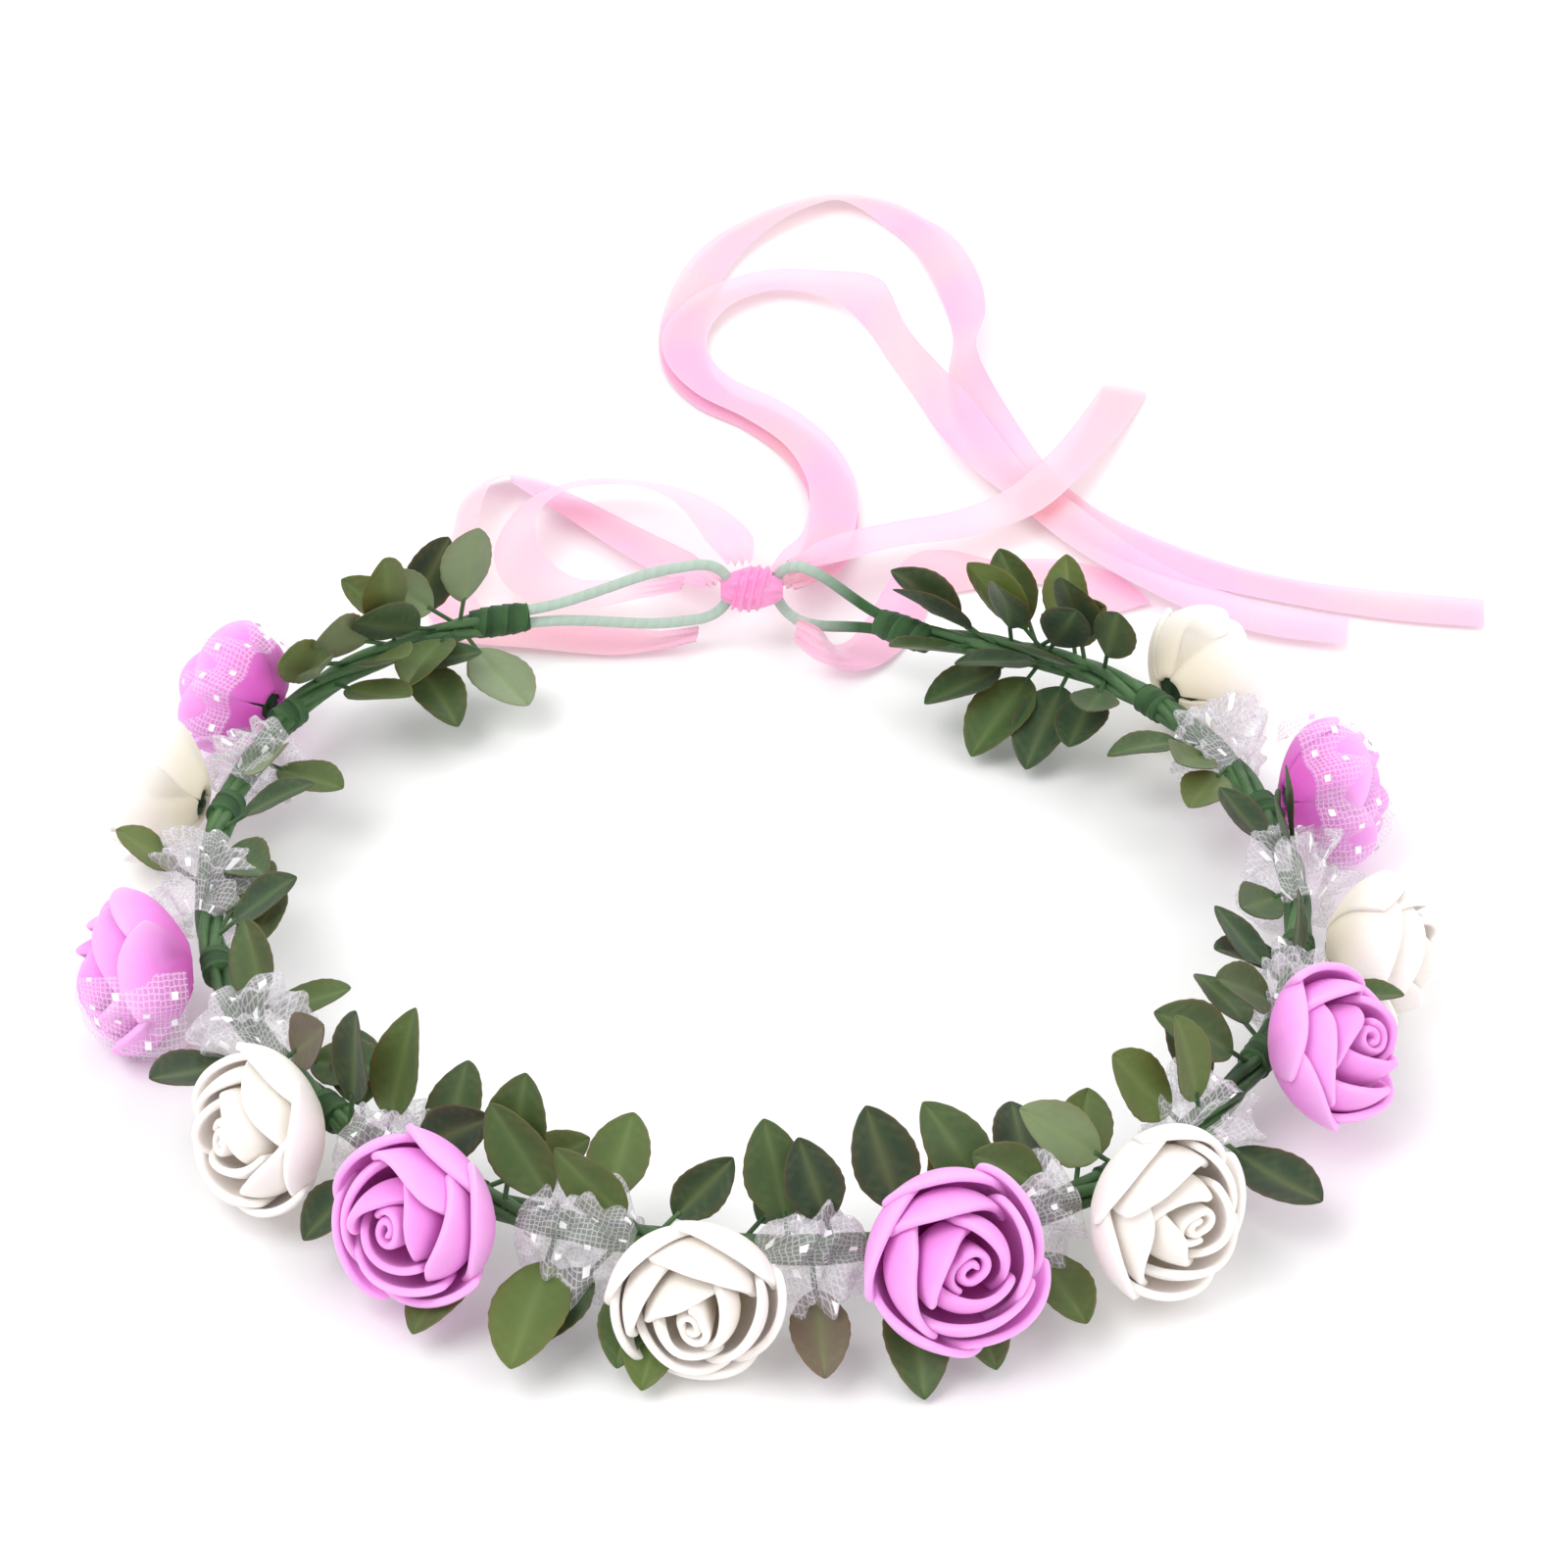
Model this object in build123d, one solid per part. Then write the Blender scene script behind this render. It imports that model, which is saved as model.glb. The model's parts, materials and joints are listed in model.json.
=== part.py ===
"""Flower crown: a hand-bent wire ring with foam roses, leaves, tulle and a tied ribbon.

Frame: millimetres, +Z up.  The origin is the middle of the ring, in the plane of the
surface that the crown lies on.  +Y points to the open back, where the ribbon ties.
"""
from build123d import *
import math
import os

# ------------------------------------------------------------------ driving dimensions
BAND_HEIGHT = 12.8         # height of the ring's wire above the surface
WIRE_RADIUS = 1.05         # paper-covered floral wire
TAPE_RADIUS = 2.4          # green tape wound over the wire and the stems
TIE_RADIUS = 3.0           # extra windings where a stem joins the ring
TIE_LENGTH = 5.0
FIT_GAP = 0.1              # between a winding and what it is wound on
BEND_SHARE = 0.45          # of the shorter straight run that a bend may take

# The ring is bent by hand, so its radius wanders: (angle, radius), from the left end,
# round the front, to the right end.
BAND_COURSE = [
    (-239, 99), (-228, 102), (-217, 103), (-206, 99), (-194, 97), (-180, 94), (-166, 93),
    (-150, 91), (-132, 91), (-112, 93), (-92, 94), (-74, 96), (-56, 97), (-38, 97),
    (-20, 96), (-2, 95), (14, 95), (30, 95), (45, 94), (58, 90), (69, 86),
]

# Wire end loops, standing upright, with their round noses at the knot.
LOOP_HALF_HEIGHT = 6.2     # centre line of each strand from the loop's middle
LOOP_NECK = 1.2            # the same, where the two strands lie side by side
LOOP_NECK_END = 1.4        # the same, where they begin to part
LOOP_START = 0.6           # from the end of the ring to the loop's cut ends
LOOP_PARTING = (0.25, 0.68)  # of the loop's length: strands begin to part, stand apart
LOOP_BENDS = [18, 14, 6.1]   # bend radii from a cut end to the nose
LEFT_NOSE = (-4.5, 94.0)
RIGHT_NOSE = (4.0, 95.0)
NOSE_HEIGHT = 15.0
BINDING_OUTER = 3.6
BINDING_INNER = 2.6
BINDING_REACH = (-3.0, 8.0)  # along the loop, from the end of the ring

# Roses: (angle on the ring, tilt above the horizontal, size)
ROSES = [
    (148, 4, 0.92), (166, 5, 0.96), (-166, 5, 1.04), (-138, 16, 1.00), (-119, 22, 1.02),
    (-94, 8, 0.98), (-73, 30, 1.06), (-54, 17, 1.02), (-29, 32, 1.00), (-10, 3, 0.98),
    (15, 3, 0.98), (38, 2, 1.00),
]
ROSE_OFFSET = 3.4          # from the ring's wire to the bend in the rose's stem
STEM_RADIUS = 0.8
STEM_LENGTH = 0.9
CALYX_HEIGHT = 2.0
CALYX_RADIUS = 5.8
CALYX_LIP = 0.8
BUD_PROFILE = [(0, 2.0), (1.8, 2.0), (3.7, 9.0), (3.6, 15.0), (2.6, 18.0), (0, 19.0)]
# Petal rings, inside to outside: (count, sector, thickness, foot, belly, rim), with each
# place as (radius, height) on the petal's outer face.
PETAL_RINGS = [
    (3, 112, 0.9, (3.2, 2.0), (5.7, 10.0), (5.0, 18.4)),
    (4, 84, 1.0, (5.0, 2.0), (9.2, 8.8), (8.5, 17.0)),
    (5, 67, 1.1, (6.9, 1.2), (12.7, 6.8), (12.2, 13.6)),
]
RING_TURN = 40             # each petal ring against the one inside it
ROSE_TURN = 47             # each rose against the one before it

# Leaves: (angle on the ring, lift, sweep, length).  Lift turns the leaf up from straight
# outward, so 90 is straight up and 180 inward.  Sweep turns it along the ring,
# anticlockwise from above.
LEAF_START = 3.0           # from the ring's wire
ROSE_LEAF_START = 4.0
LEAF_THICKNESS = 0.4
LEAF_SLENDERNESS = 0.5
PETIOLE_RADIUS = 0.45
PETIOLE_LENGTH = 3.0
PETIOLE_INSET = 2.0        # of the petiole into the blade
LEAF_SPRAYS = {
    "leaves_left_back": [
        (132, 100, 10, 18), (130, 60, -50, 17), (124, 95, -10, 17), (128, 115, 60, 18),
        (126, 160, 55, 18), (124, -165, 0, 19), (131, -172, 10, 17), (137, 150, 10, 17),
        (141, 172, 0, 17), (155, 150, 55, 16), (157, 178, 10, 15), (143, 125, 30, 14),
        (134, 100, 58, 17), (139.5, 105, 62, 15), (128, 20, 30, 14), (134, 178, -45, 15),
        (125.5, 70, 45, 15),
    ],
    "leaves_left": [
        (174, 150, 50, 16), (176, 175, 60, 17), (-180, 40, 0, 13), (-153, 130, -60, 16),
        (-150, 10, 10, 16), (-134, 100, 0, 17), (-129, 120, -10, 18), (-146, 105, 40, 15),
        (-172, 160, -60, 15), (-170, 140, 0, 14), (-164, 150, -40, 14), (-157, 165, 30, 15),
        (-146, 150, 55, 15), (170, 150, -20, 14), (-134, 165, -50, 15),
    ],
    "leaves_front_left": [
        (-128, -3, 0, 14), (-126, 110, 50, 15), (-114, 115, 0, 17), (-108, 110, -40, 17),
        (-108, -14, 4, 20), (-100, 100, -50, 15), (-98, 112, 40, 13), (-122, 150, -20, 16),
        (-117, 160, 45, 15), (-104, 150, 0, 16), (-90, 155, 40, 15), (-103, -20, -30, 15),
    ],
    "leaves_front_right": [
        (-86, 110, -10, 16), (-82, 105, -15, 15), (-75, 125, -10, 17), (-66, 125, -20, 17),
        (-63.5, -22, 0, 14), (-60, 110, -50, 15), (-53, 125, -40, 16), (-44, 120, -30, 17),
        (-42, 100, -5, 16), (-41.5, -12, 0, 17), (-71, 160, 30, 15), (-62, 160, 20, 16),
        (-57, 160, 40, 15), (-84, -20, 0, 15), (-38, 160, 30, 14),
    ],
    "leaves_right": [
        (-32, 130, -30, 16), (-22, 125, -40, 15), (-19.5, 20, 0, 13), (2, 100, 30, 14),
        (5, 110, -20, 14), (22, 165, -40, 15), (26, 160, -35, 16), (29, 175, 10, 14),
        (-27, 165, 30, 14), (-18, 150, 20, 14), (-12, 160, -40, 14), (-2, 155, -50, 14),
        (4, 150, 50, 14), (-19.5, 100, 50, 14),
    ],
    "leaves_right_back": [
        (45, 110, -20, 15), (44, 172, -30, 15), (48, 100, 5, 17), (54, 100, 45, 17),
        (60, 125, 55, 17), (56, -166, 25, 17), (53, -160, 0, 20), (49, -162, -15, 19),
        (45, -170, -25, 16), (62, 165, 30, 15), (50, 60, 30, 15), (47, 150, 20, 16),
        (52, 120, -30, 16), (51, 165, 40, 16), (57, 110, -5, 16), (62, 95, 60, 16),
        (55, 60, 40, 15), (53, 80, -45, 15),
    ],
}
# Leaves wired to a rose's own stem, under its petals.
ROSE_LEAVES = {
    5: [(-116, -22, 0, 17)],
    6: [(-100, -20, 0, 13), (-97, -25, -5, 16)],
    7: [(-76, -22, -4, 17), (-71, -22, 0, 15)],
}

# Tulle puffs round the ring between two roses: (angle, half length, radius)
TULLE_WALL = 0.4
TULLE_THROAT = 3.3
TULLE_SHOULDER = (0.55, 0.78)  # along the half length, and out from the throat
TULLE_WRAPS = {
    "tulle_left": [(157, 5, 5), (-180, 7, 6), (-152, 7, 6), (-128, 5, 5.5)],
    "tulle_right": [
        (-106, 6, 6), (-84, 5, 5.5), (-63.5, 5, 5.5), (-42, 6, 6), (-19.5, 5, 5.5), (2, 6, 6),
        (27, 5, 5.5),
    ],
}

# Ribbon strips: (x, y, height of the lower edge, roll) along each route.  Roll 0 lies
# flat, and a positive roll raises the edge on the left of the route's direction.
RIBBON_WIDTH = 10.0
RIBBON_THICKNESS = 0.5
GATHERED_WIDTH = 4.5       # where the ribbon leaves the knot
GATHER_LENGTH = 16.0       # from the knot to the full width
STATION_STEP = 4           # stations between two points of a route
RIBBON_ROUTES = {
    "ribbon_tail_1": [
        (6, 103, 9.5, 0), (9, 111, 6.0, 0), (14, 124, 2.6, 4), (16, 141, 1.0, 5),
        (15, 156, 0.8, 0), (10, 171, 0.8, 0), (1, 184, 0.8, 0), (-9, 193, 0.8, 0),
        (-15, 205, 0.8, 0), (-17, 222, 0.8, 0), (-15, 241, 0.8, 0), (-10, 258, 0.8, -3),
        (-3, 271, 0.8, -8), (7, 282, 0.8, -15), (19, 288, 0.8, -18), (31, 282, 0.8, -5),
        (40, 266, 0.8, 12), (45, 244, 0.8, 25), (47, 221, 0.8, 45), (45, 201, 0.8, 57),
        (48, 183, 0.8, 35), (55, 164, 0.8, 8), (64, 148, 0.8, 0), (76, 134, 0.8, 0),
        (92, 122, 0.8, 0), (109, 114, 0.8, 0), (126, 109, 0.8, 0), (144, 106, 0.8, 0),
    ],
    "ribbon_tail_2": [
        (5, 104, 12.0, 0), (8, 113, 8.6, 0), (14, 127, 5.0, 4), (16, 143, 3.4, 5),
        (15, 157, 3.0, 0), (10, 172, 3.0, 0), (1, 185, 3.0, 0), (-9, 195, 3.0, 0),
        (-15, 207, 3.0, 0), (-16, 220, 3.0, 0), (-12, 232, 3.0, 0), (-5, 240, 3.0, 0),
        (4, 244, 3.0, 0), (14, 242, 3.0, 4), (22, 235, 3.0, 25), (27, 221, 3.0, 60),
        (31, 204, 3.0, 72), (37, 187, 3.0, 60), (44, 173, 3.0, 25), (52, 158, 3.0, 0),
        (60, 145, 3.0, 0), (69, 130, 3.0, 0), (79, 117, 3.0, 0), (90, 107, 2.6, 0),
        (102, 101, 2.2, 0), (116, 98, 2.0, 0),
    ],
    "ribbon_tail_3": [
        (8, 103, 14.0, 0), (13, 111, 11.0, 0), (20, 120, 8.4, 0), (30, 126, 7.2, 0),
        (42, 131, 6.4, 0), (54, 141, 5.8, 0), (63, 155, 5.6, 0), (72, 176, 3.0, 0),
        (80, 198, 0.8, 0),
    ],
    "ribbon_tail_4_turn": [
        (8, 86.4, 8.5, 45), (13, 85, 5.0, 40), (18, 87.5, 2.4, 12), (23, 94, 1.4, 0),
    ],
    "ribbon_tail_4": [
        (33, 113, 0.8, 50), (40, 119, 0.8, 30), (50, 122, 0.6, 0),
        (60, 122, 0.6, 0), (69, 117, 0.6, 0), (74, 108, 0.6, 0),
    ],
    "ribbon_bow_loop_a": [
        (-3, 104, 14.0, 0), (-4, 113, 11.0, 5), (-7, 126, 8.0, 10), (-13, 138, 6.4, 18),
        (-22, 145, 6.0, 22), (-33, 146, 6.0, 24), (-42, 141, 6.0, 30), (-47, 131, 6.0, 35),
        (-48, 120, 6.0, 30), (-44, 110, 6.0, 15), (-36, 105, 6.0, 5), (-25, 104, 7.5, 0),
        (-14, 102, 10.5, 0),
    ],
    "ribbon_bow_loop_b": [
        (-8, 106, 8.0, 0), (-15, 117, 5.0, 0), (-26, 132, 2.0, 5), (-39, 147, 1.0, 12),
        (-50, 156, 1.0, 25), (-57, 150, 1.0, 40), (-59, 137, 1.0, 50), (-60, 121, 1.0, 35),
        (-60, 108, 1.0, 15), (-54, 100, 1.0, 0), (-43, 98, 1.0, 0), (-31, 96, 1.0, 0),
        (-20, 95, 1.6, 0), (-11, 94, 4.0, 0),
    ],
}
# Whether each strip is gathered at its first and last point.
GATHERED_ENDS = {
    "ribbon_tail_4": (False, False),
    "ribbon_bow_loop_a": (True, True),
    "ribbon_bow_loop_b": (True, True),
}
KNOT_CENTRE = (-0.4, 93.5, 15.0)
KNOT_HALF_LENGTH = 6.0
KNOT_RADIUS = 4.2
KNOT_END_RADIUS = 1.8


# ------------------------------------------------------------------ places on the ring
def band_radius(angle):
    """The ring's radius at an angle, straight between the points of its course."""
    if angle > BAND_COURSE[-1][0]:
        angle -= 360
    for (a0, r0), (a1, r1) in zip(BAND_COURSE, BAND_COURSE[1:]):
        if a0 <= angle <= a1:
            return r0 + (r1 - r0) * (angle - a0) / (a1 - a0)
    raise ValueError(f"the ring is open at {angle} degrees")


def polar(angle, radius, height):
    turn = math.radians(angle)
    return Vector(radius * math.cos(turn), radius * math.sin(turn), height)


def band_point(angle):
    return polar(angle, band_radius(angle), BAND_HEIGHT)


def along(angle):
    """The direction along the ring, anticlockwise from above."""
    return polar(angle + 90, 1, 0)


def outward(angle, lift):
    """The direction away from the ring, turned up by lift."""
    rise = math.radians(lift)
    return polar(angle, math.cos(rise), math.sin(rise))


# ------------------------------------------------------------------ wires and windings
def rounded_path(points):
    """Straight runs joined by arcs as large as their two runs allow."""
    radii = []
    for before, corner, after in zip(points, points[1:], points[2:]):
        shorter = min((corner - before).length, (after - corner).length)
        turn = math.radians((corner - before).get_angle(after - corner))
        radii.append(BEND_SHARE * shorter / math.tan(turn / 2))
    return FilletPolyline(*points, radius=radii)


def tube(path, outer, inner=0.0):
    """A round wire along a path, or a sleeve if it has an inner radius."""
    section = Circle(outer)
    if inner:
        section -= Circle(inner)
    return sweep(Plane(origin=path @ 0, z_dir=path % 0) * section, path=path)


def sleeve(centre, direction, half_length, outer, inner):
    """A short straight sleeve."""
    ring = extrude(Circle(outer) - Circle(inner), amount=half_length, both=True)
    return Plane(origin=centre, z_dir=direction) * ring


def ring_path():
    return rounded_path([polar(angle, radius, BAND_HEIGHT) for angle, radius in BAND_COURSE])


def loop_plane(end, nose):
    """The upright plane of an end loop: x along it from the ring's end, y up."""
    length_way = Vector(nose[0], nose[1], NOSE_HEIGHT) - end
    level = Vector(length_way.X, length_way.Y, 0).normalized()
    return Plane(origin=end, x_dir=length_way, z_dir=level.cross(Vector(0, 0, 1))), length_way.length


def end_loop(end, nose):
    """One piece of wire bent back on itself into a long teardrop."""
    plane, length = loop_plane(end, nose)
    parting, apart = [part * length for part in LOOP_PARTING]
    half = [
        (LOOP_START, LOOP_NECK), (parting, LOOP_NECK_END), (apart, LOOP_HALF_HEIGHT),
        (length, LOOP_HALF_HEIGHT),
    ]
    outline = half + [(x, -y) for x, y in reversed(half)]
    path = plane * FilletPolyline(*outline, radius=LOOP_BENDS + LOOP_BENDS[::-1])
    return tube(path, WIRE_RADIUS)


def loop_binding(end, nose):
    """Tape wound over the loop's neck and the end of the ring."""
    plane, _ = loop_plane(end, nose)
    start, stop = BINDING_REACH
    middle = end + plane.x_dir * (start + stop) / 2
    return sleeve(middle, plane.x_dir, (stop - start) / 2, BINDING_OUTER, BINDING_INNER)


def rose_tie(angle):
    """Tape wound round the ring where a rose's stem joins it."""
    inner = TAPE_RADIUS + FIT_GAP
    return sleeve(band_point(angle), along(angle), TIE_LENGTH / 2, TIE_RADIUS, inner)


# ------------------------------------------------------------------ roses
def rose_plane(angle, tilt):
    """A rose's own frame: origin at the bend in its stem, z out through its face."""
    direction = outward(angle, tilt)
    origin = band_point(angle) + direction * ROSE_OFFSET
    return Plane(origin=origin, x_dir=along(angle), z_dir=direction)


def rose_stem():
    """The wire stem and the taped calyx that carries the petals."""
    outline = [
        (0, 0), (STEM_RADIUS, 0), (STEM_RADIUS, STEM_LENGTH),
        (CALYX_RADIUS - CALYX_LIP, CALYX_HEIGHT - CALYX_LIP), (CALYX_RADIUS, CALYX_HEIGHT),
        (0, CALYX_HEIGHT),
    ]
    return [revolve(Plane.XZ * make_face(Polyline(*outline, close=True)), axis=Axis.Z)]


def rose_bud():
    """The tight roll of foam in the middle."""
    return [revolve(Plane.XZ * make_face(Polyline(*BUD_PROFILE, close=True)), axis=Axis.Z)]


def petal_face(thickness, foot, belly, rim):
    """Half the cross-section of a cupped petal."""
    outer = ThreePointArc(foot, belly, rim)
    inner_places = [(radius - thickness, height) for radius, height in (rim, belly, foot)]
    inner = ThreePointArc(*inner_places)
    edges = Curve() + [outer, Line(rim, inner_places[0]), inner, Line(inner_places[-1], foot)]
    return Plane.XZ * make_face(edges)


def rose_petals():
    """Three rings of cupped petals, each ring turned against the one inside it."""
    petals = []
    for ring, (count, sector, thickness, foot, belly, rim) in enumerate(PETAL_RINGS):
        petal = revolve(petal_face(thickness, foot, belly, rim), axis=Axis.Z, revolution_arc=sector)
        for index in range(count):
            petals.append(Rot(0, 0, 360 * index / count + RING_TURN * ring) * petal)
    return petals


# ------------------------------------------------------------------ leaves and tulle
def leaf(angle, lift, sweep_angle, length, start=LEAF_START):
    """A thin pointed leaf on its petiole."""
    away = outward(angle, lift)
    turn = math.radians(sweep_angle)
    direction = away * math.cos(turn) + along(angle) * math.sin(turn)
    side = along(angle) * math.cos(turn) - away * math.sin(turn)
    plane = Plane(origin=band_point(angle) + away * start, x_dir=direction, z_dir=direction.cross(side))
    foot = PETIOLE_LENGTH
    tip = PETIOLE_LENGTH + length
    middle = foot + 0.5 * length
    half_width = LEAF_SLENDERNESS * length / 2
    outline = Curve() + [
        ThreePointArc((foot, 0), (middle, half_width), (tip, 0)),
        ThreePointArc((tip, 0), (middle, -half_width), (foot, 0)),
    ]
    blade = extrude(make_face(outline), amount=LEAF_THICKNESS / 2, both=True)
    centred = (Align.CENTER, Align.CENTER, Align.MIN)
    petiole = Plane.YZ * Cylinder(PETIOLE_RADIUS, foot + PETIOLE_INSET, align=centred)
    return plane * (blade + petiole)


def tulle_puff(angle, half_length, radius):
    """A puff of tulle round the ring, drawn in at both ends."""
    shoulder_place, shoulder_share = TULLE_SHOULDER
    shoulder = TULLE_THROAT + (radius - TULLE_THROAT) * shoulder_share
    half = [(radius, 0), (shoulder, shoulder_place * half_length), (TULLE_THROAT, half_length)]
    outer = [(across, -height) for across, height in half[:0:-1]] + half
    inner = [(across - TULLE_WALL, height) for across, height in reversed(outer)]
    puff = revolve(Plane.XZ * make_face(Polyline(*outer, *inner, close=True)), axis=Axis.Z)
    return Plane(origin=band_point(angle), z_dir=along(angle)) * puff


# ------------------------------------------------------------------ ribbon
def curve_value(before, first, second, after, part):
    """A smooth value between first and second, with its neighbours' slopes."""
    slope_in = (second - before) / 2
    slope_out = (after - first) / 2
    square = part * part
    cube = square * part
    return (
        (2 * cube - 3 * square + 1) * first + (cube - 2 * square + part) * slope_in
        + (3 * square - 2 * cube) * second + (cube - square) * slope_out
    )


def stations(route):
    """The route's points and the ones between them, as smooth (x, y, lift, roll)."""
    padded = [route[0]] + route + [route[-1]]
    places = []
    for four in zip(padded, padded[1:], padded[2:], padded[3:]):
        for step in range(STATION_STEP):
            part = step / STATION_STEP
            places.append([curve_value(*values, part) for values in zip(*four)])
    places.append(list(route[-1]))
    return places


def gathered_width(distance):
    """The ribbon's width at a distance from the knot."""
    part = min(distance / GATHER_LENGTH, 1)
    return GATHERED_WIDTH + (RIBBON_WIDTH - GATHERED_WIDTH) * part


def strip_section(place, heading, width):
    """The four corners of the ribbon's cross-section at one station."""
    x, y, lift, roll = place
    turn = math.radians(roll)
    left = Vector(-heading.Y, heading.X, 0)
    across = left * math.cos(turn) + Vector(0, 0, 1) * math.sin(turn)
    through = heading.cross(across)
    centre = Vector(x, y, lift + abs(math.sin(turn)) * width / 2 + RIBBON_THICKNESS / 2)
    half = across * (width / 2)
    skin = through * (RIBBON_THICKNESS / 2)
    return [centre - half - skin, centre + half - skin, centre + half + skin, centre - half + skin]


def triangle(*corners):
    return Face(Wire.make_polygon(corners, close=True))


def strip_sections(route, gathered):
    """Cross-sections along a route, narrow at its gathered ends."""
    places = stations(route)
    spots = [Vector(*place[:3]) for place in places]
    travelled = [0.0]
    for before, after in zip(spots, spots[1:]):
        travelled.append(travelled[-1] + (after - before).length)
    sections = []
    for index, place in enumerate(places):
        before = places[max(index - 1, 0)]
        after = places[min(index + 1, len(places) - 1)]
        heading = Vector(after[0] - before[0], after[1] - before[1], 0).normalized()
        from_ends = (travelled[index], travelled[-1] - travelled[index])
        nearest = min([far for far, end in zip(from_ends, gathered) if end], default=GATHER_LENGTH)
        sections.append(strip_section(place, heading, gathered_width(nearest)))
    return sections


def ribbon_strip(route, gathered):
    """A strip of ribbon as one closed solid of flat faces."""
    sections = strip_sections(route, gathered)
    faces = []
    for near, far in zip(sections, sections[1:]):
        for corner in range(4):
            following = (corner + 1) % 4
            faces.append(triangle(near[corner], near[following], far[following]))
            faces.append(triangle(near[corner], far[following], far[corner]))
    for end in (sections[0], sections[-1]):
        faces.append(triangle(end[0], end[1], end[2]))
        faces.append(triangle(end[0], end[2], end[3]))
    return Solid(Shell(faces))


def ribbon_knot():
    """The knot that ties the two wire noses together: a fat barrel lying along X."""
    outline = Curve() + [
        ThreePointArc(
            (KNOT_END_RADIUS, -KNOT_HALF_LENGTH), (KNOT_RADIUS, 0), (KNOT_END_RADIUS, KNOT_HALF_LENGTH)
        ),
        Line((KNOT_END_RADIUS, KNOT_HALF_LENGTH), (0, KNOT_HALF_LENGTH)),
        Line((0, KNOT_HALF_LENGTH), (0, -KNOT_HALF_LENGTH)),
        Line((0, -KNOT_HALF_LENGTH), (KNOT_END_RADIUS, -KNOT_HALF_LENGTH)),
    ]
    barrel = revolve(Plane.XZ * make_face(outline), axis=Axis.Z)
    return Plane(origin=KNOT_CENTRE, z_dir=(1, 0, 0)) * barrel


# ------------------------------------------------------------------ the assembly
def solids_of(shapes):
    """Every solid in a list of shapes."""
    return [solid for shape in shapes for solid in shape.solids()]


def band_nodes():
    path = ring_path()
    left_end = path @ 0
    right_end = path @ 1
    bindings = [loop_binding(left_end, LEFT_NOSE), loop_binding(right_end, RIGHT_NOSE)]
    return {
        "band_core_wire": [tube(path, WIRE_RADIUS)],
        "band_floral_tape": [tube(path, TAPE_RADIUS, WIRE_RADIUS)],
        "left_wire_loop": [end_loop(left_end, LEFT_NOSE)],
        "right_wire_loop": [end_loop(right_end, RIGHT_NOSE)],
        "wire_bindings": bindings + [rose_tie(angle) for angle, _, _ in ROSES],
    }


def rose_nodes():
    nodes = {}
    for number, (angle, tilt, size) in enumerate(ROSES, start=1):
        plane = rose_plane(angle, tilt)
        spin = Rot(0, 0, ROSE_TURN * number)
        for piece, shapes in (("stem", rose_stem()), ("bud", rose_bud()), ("petals", rose_petals())):
            nodes[f"rose_{number:02d}_{piece}"] = [plane * spin * scale(shape, by=size) for shape in shapes]
    for number, places in ROSE_LEAVES.items():
        nodes[f"rose_{number:02d}_leaves"] = [leaf(*place, start=ROSE_LEAF_START) for place in places]
    return nodes


def trim_nodes():
    nodes = {name: [leaf(*place) for place in places] for name, places in LEAF_SPRAYS.items()}
    nodes.update({name: [tulle_puff(*place) for place in places] for name, places in TULLE_WRAPS.items()})
    return nodes


def ribbon_nodes():
    nodes = {}
    for name, route in RIBBON_ROUTES.items():
        nodes[name] = [ribbon_strip(route, GATHERED_ENDS.get(name, (True, False)))]
    nodes["ribbon_knot"] = [ribbon_knot()]
    return nodes


def main():
    os.makedirs("parts", exist_ok=True)
    nodes = {**band_nodes(), **rose_nodes(), **trim_nodes(), **ribbon_nodes()}
    for name, shapes in nodes.items():
        export_step(Compound(children=solids_of(shapes)), f"parts/{name}.step")
    print(len(nodes), "nodes")


main()
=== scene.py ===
"""Looks of the flower crown: foam roses, cloth leaves, dotted tulle and sheer ribbon.

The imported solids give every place.  Lengths below are in millimetres unless they say
otherwise, and each mesh is turned into metres when it is made.
"""
import json
import math
import random

import bmesh
import bpy
import numpy as np
from mathutils import Matrix, Vector


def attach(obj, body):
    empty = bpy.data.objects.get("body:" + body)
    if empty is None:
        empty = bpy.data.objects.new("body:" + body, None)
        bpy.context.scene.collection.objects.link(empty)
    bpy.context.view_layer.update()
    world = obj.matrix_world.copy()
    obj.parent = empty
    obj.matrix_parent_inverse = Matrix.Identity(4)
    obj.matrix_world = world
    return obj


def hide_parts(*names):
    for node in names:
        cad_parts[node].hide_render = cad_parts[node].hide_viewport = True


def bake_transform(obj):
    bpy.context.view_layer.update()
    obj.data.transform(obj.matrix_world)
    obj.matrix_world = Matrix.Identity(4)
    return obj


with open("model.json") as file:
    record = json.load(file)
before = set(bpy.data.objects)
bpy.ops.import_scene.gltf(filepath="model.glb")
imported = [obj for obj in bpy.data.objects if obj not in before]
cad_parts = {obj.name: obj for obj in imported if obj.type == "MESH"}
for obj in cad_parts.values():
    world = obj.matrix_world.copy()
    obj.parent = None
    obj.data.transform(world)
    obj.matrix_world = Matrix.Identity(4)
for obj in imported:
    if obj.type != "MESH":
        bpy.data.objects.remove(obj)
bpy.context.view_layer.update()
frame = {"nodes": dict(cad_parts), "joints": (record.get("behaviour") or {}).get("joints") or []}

MM = 0.001
NODES = frame["nodes"]
ROOT = "ring"

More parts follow.
